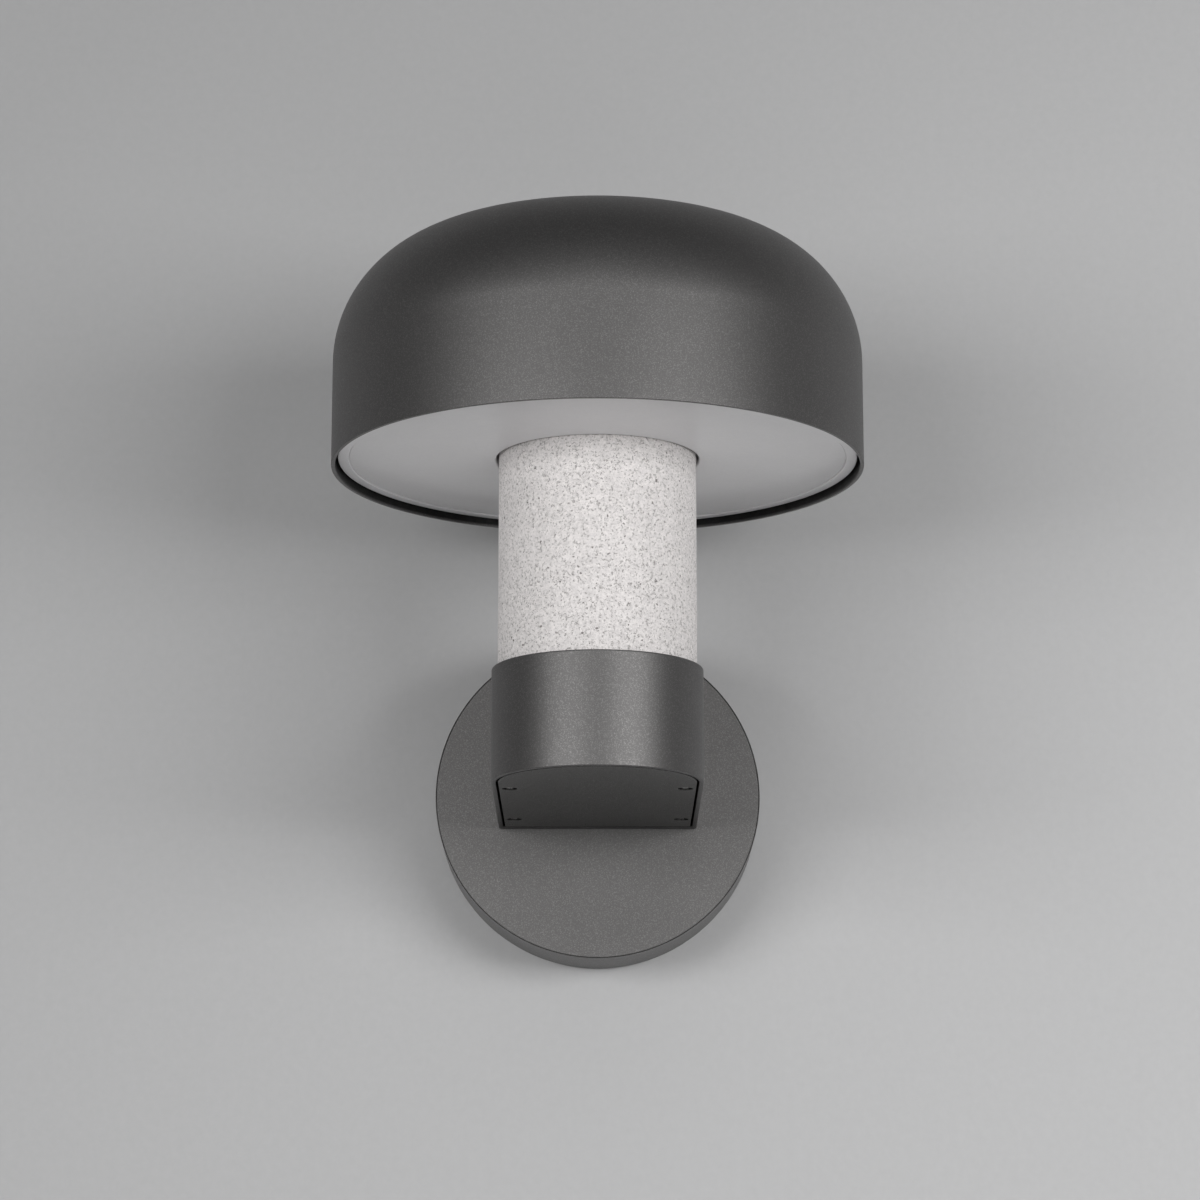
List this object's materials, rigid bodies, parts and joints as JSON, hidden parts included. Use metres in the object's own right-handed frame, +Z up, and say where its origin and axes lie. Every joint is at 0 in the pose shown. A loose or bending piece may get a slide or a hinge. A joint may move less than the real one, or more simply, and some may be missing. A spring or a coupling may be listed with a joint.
{
  "type": "outdoor wall light",
  "caption": "Outdoor wall light: a domed metal shade with an opal ring diffuser on a concrete stem, carried by a D-shaped arm on a round wall plate.",
  "frame": {"origin": "centre of the wall face, the back of the bracket that is screwed to the wall", "axes": "+Y into the wall, +Z up, the front of the light faces -Y, +X to the right seen from the front"},
  "size_m": [0.216, 0.266, 0.283],
  "materials": {
    "anthracite_coat": "fine-textured metallic powder coat",
    "cover_coat": "smooth satin powder coat",
    "concrete": "fine cast concrete with pores and dark specks",
    "opal": "satin opal plastic",
    "rubber": "matt black silicone",
    "steel": "zinc-plated and stainless steel",
    "aluminium": "plain pressed aluminium",
    "brass": "bright brass",
    "driver_case": "moulded light grey plastic",
    "board": "white solder mask",
    "block": "grey moulded plastic",
    "sheath": "black lead sheath"
  },
  "bodies": {
    "root": {"wall_bracket": "steel", "wall_seal": "rubber", "wall_plate": "anthracite_coat", "plate_screw_left": "steel", "plate_screw_right": "steel", "plate_grommet": "rubber", "terminal_block": "block", "terminal_screw_1": "brass", "terminal_screw_2": "brass", "terminal_screw_3": "brass", "earth_screw": "brass", "arm_screw_1": "steel", "arm_screw_2": "steel", "arm_screw_3": "steel", "arm_screw_4": "steel", "arm_seal": "rubber", "arm_housing": "anthracite_coat", "cover_seal": "rubber", "bottom_cover": "cover_coat", "cover_screw_1": "steel", "cover_screw_2": "steel", "cover_screw_3": "steel", "cover_screw_4": "steel", "led_driver": "driver_case", "driver_screw_1": "steel", "driver_screw_2": "steel", "mains_lead": "sheath", "led_lead": "sheath", "stem_foot_seal": "rubber", "concrete_stem": "concrete", "stem_top_seal": "rubber", "clamp_tube": "steel", "clamp_washer": "steel", "clamp_nut": "steel", "diffuser": "opal", "diffuser_outer_seal": "rubber", "diffuser_inner_seal": "rubber", "led_board": "board", "board_screw_1": "steel", "board_screw_2": "steel", "board_screw_3": "steel", "board_screw_4": "steel", "head_plate": "aluminium", "diffuser_screw_1": "steel", "diffuser_screw_2": "steel", "diffuser_screw_3": "steel", "shade_spacer": "aluminium", "shade": "anthracite_coat"}
  },
  "joints": []
}
